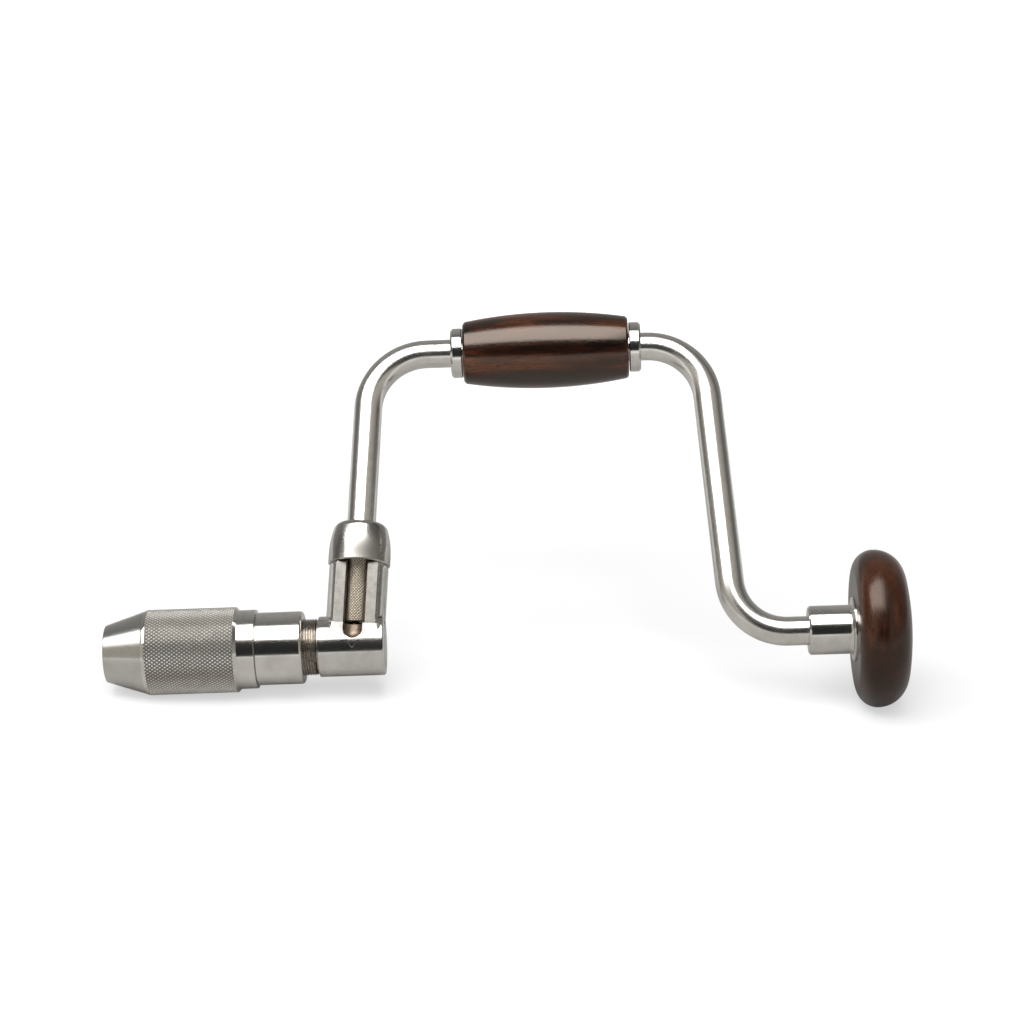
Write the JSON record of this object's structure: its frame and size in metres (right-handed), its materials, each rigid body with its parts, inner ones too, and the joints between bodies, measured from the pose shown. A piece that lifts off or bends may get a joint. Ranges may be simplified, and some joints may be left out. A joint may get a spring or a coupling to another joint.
{
  "type": "bit brace",
  "caption": "Cranked hand brace: knurled chuck with clamping jaws, ratchet head with thumb selector, bent round rod with a turning wooden grip and a ball borne wooden head pad.",
  "frame": {"origin": "centre of the chuck's mouth, on the axis that the bit turns on", "axes": "+X from the chuck's mouth to the head pad along the turning axis, +Z from that axis to the grip, +Y square to the crank's plane"},
  "size_m": [0.3339, 0.0652, 0.1758],
  "materials": {
    "plated_rod": "satin nickel plate",
    "plated_head": "worn nickel plate",
    "plated_shell": "satin nickel plate",
    "turned_steel": "oiled turned steel",
    "hardened_steel": "ground",
    "dark_steel": "oil blackened",
    "selector_steel": "knurled and browned",
    "spring_wire": "drawn wire",
    "bronze": "oiled",
    "dark_wood": "glossy lacquer"
  },
  "bodies": {
    "crank": {"crank_rod": "plated_rod", "ratchet_head": "plated_head", "ring_cap": "plated_rod", "head_cross_pin": "turned_steel", "head_end_plug": "plated_head", "thrust_washer": "dark_steel", "grip_collar_near": "plated_rod", "grip_collar_far": "plated_rod", "pad_inner_race": "hardened_steel", "pad_washer": "turned_steel", "pad_spindle_nut": "turned_steel"},
    "spindle": {"chuck_spindle": "turned_steel", "ratchet_wheel": "hardened_steel", "wheel_key": "turned_steel", "wheel_washer": "turned_steel", "wheel_nut": "turned_steel", "jaw_spring": "spring_wire"},
    "selector": {"selector_sleeve": "selector_steel", "selector_key_pin": "turned_steel"},
    "pawl": {"pawl_plunger": "dark_steel", "pawl_spring": "spring_wire"},
    "cone": {"jaw_cone": "hardened_steel"},
    "chuck_cage": {"chuck_ball_cage": "bronze", "chuck_balls": "hardened_steel"},
    "shell": {"chuck_shell": "plated_shell", "shell_nut": "plated_shell", "cone_snap_ring": "spring_wire"},
    "jaw_upper": {"jaw_upper": "dark_steel"},
    "jaw_lower": {"jaw_lower": "dark_steel"},
    "grip": {"wood_grip": "dark_wood"},
    "pad": {"pad_wood": "dark_wood", "pad_neck": "plated_rod", "pad_bush": "bronze", "pad_outer_race": "hardened_steel"},
    "pad_cage": {"pad_ball_cage": "bronze", "pad_balls": "hardened_steel"}
  },
  "joints": [
    {"name": "chuck_turn", "type": "hinge", "parent": "crank", "child": "spindle", "pos_m": [0.094, 0, 0], "axis": [1, 0, 0], "continuous": true},
    {"name": "selector_turn", "type": "hinge", "parent": "crank", "child": "selector", "pos_m": [0.1034, -0.0027, 0], "axis": [0.0663, 0, 0.9978], "range_deg": [-90, 90]},
    {"name": "pawl_lift", "type": "slide", "parent": "selector", "child": "pawl", "axis": [0.0663, 0, 0.9978], "range_m": [0, 0.0021], "stiffness_N_per_m": 400, "springref_m": -0.004, "deforming": ["pawl_spring"]},
    {"name": "shell_travel", "type": "slide", "parent": "spindle", "child": "cone", "axis": [1, 0, 0], "range_m": [-0.0041, 0.0044]},
    {"name": "shell_turn", "type": "hinge", "parent": "cone", "child": "shell", "pos_m": [0.03, 0, 0], "axis": [1, 0, 0], "range_deg": [-1394, 1496]},
    {"name": "chuck_cage_turn", "type": "hinge", "parent": "cone", "child": "chuck_cage", "pos_m": [0.0065, 0, 0], "axis": [1, 0, 0], "range_deg": [-698, 749]},
    {"name": "jaw_upper_slide", "type": "slide", "parent": "spindle", "child": "jaw_upper", "axis": [0, 0, -1], "range_m": [-0.0013, 0.0014], "deforming": ["jaw_spring"]},
    {"name": "jaw_lower_slide", "type": "slide", "parent": "spindle", "child": "jaw_lower", "axis": [0, 0, 1], "range_m": [-0.0013, 0.0014]},
    {"name": "grip_turn", "type": "hinge", "parent": "crank", "child": "grip", "pos_m": [0.1867, 0, 0.127], "axis": [1, 0, 0], "continuous": true},
    {"name": "pad_turn", "type": "hinge", "parent": "crank", "child": "pad", "pos_m": [0.305, 0, 0], "axis": [1, 0, 0], "continuous": true},
    {"name": "pad_cage_turn", "type": "hinge", "parent": "crank", "child": "pad_cage", "pos_m": [0.2996, 0, 0], "axis": [1, 0, 0], "continuous": true}
  ],
  "couplings": [
    {"joint": "shell_turn", "follows": "shell_travel", "rad_per_m": 5927.5},
    {"joint": "chuck_cage_turn", "follows": "shell_travel", "rad_per_m": 2963.8},
    {"joint": "jaw_upper_slide", "follows": "shell_travel", "ratio": 0.315},
    {"joint": "jaw_lower_slide", "follows": "shell_travel", "ratio": 0.315},
    {"joint": "pad_cage_turn", "follows": "pad_turn", "ratio": 0.5}
  ]
}
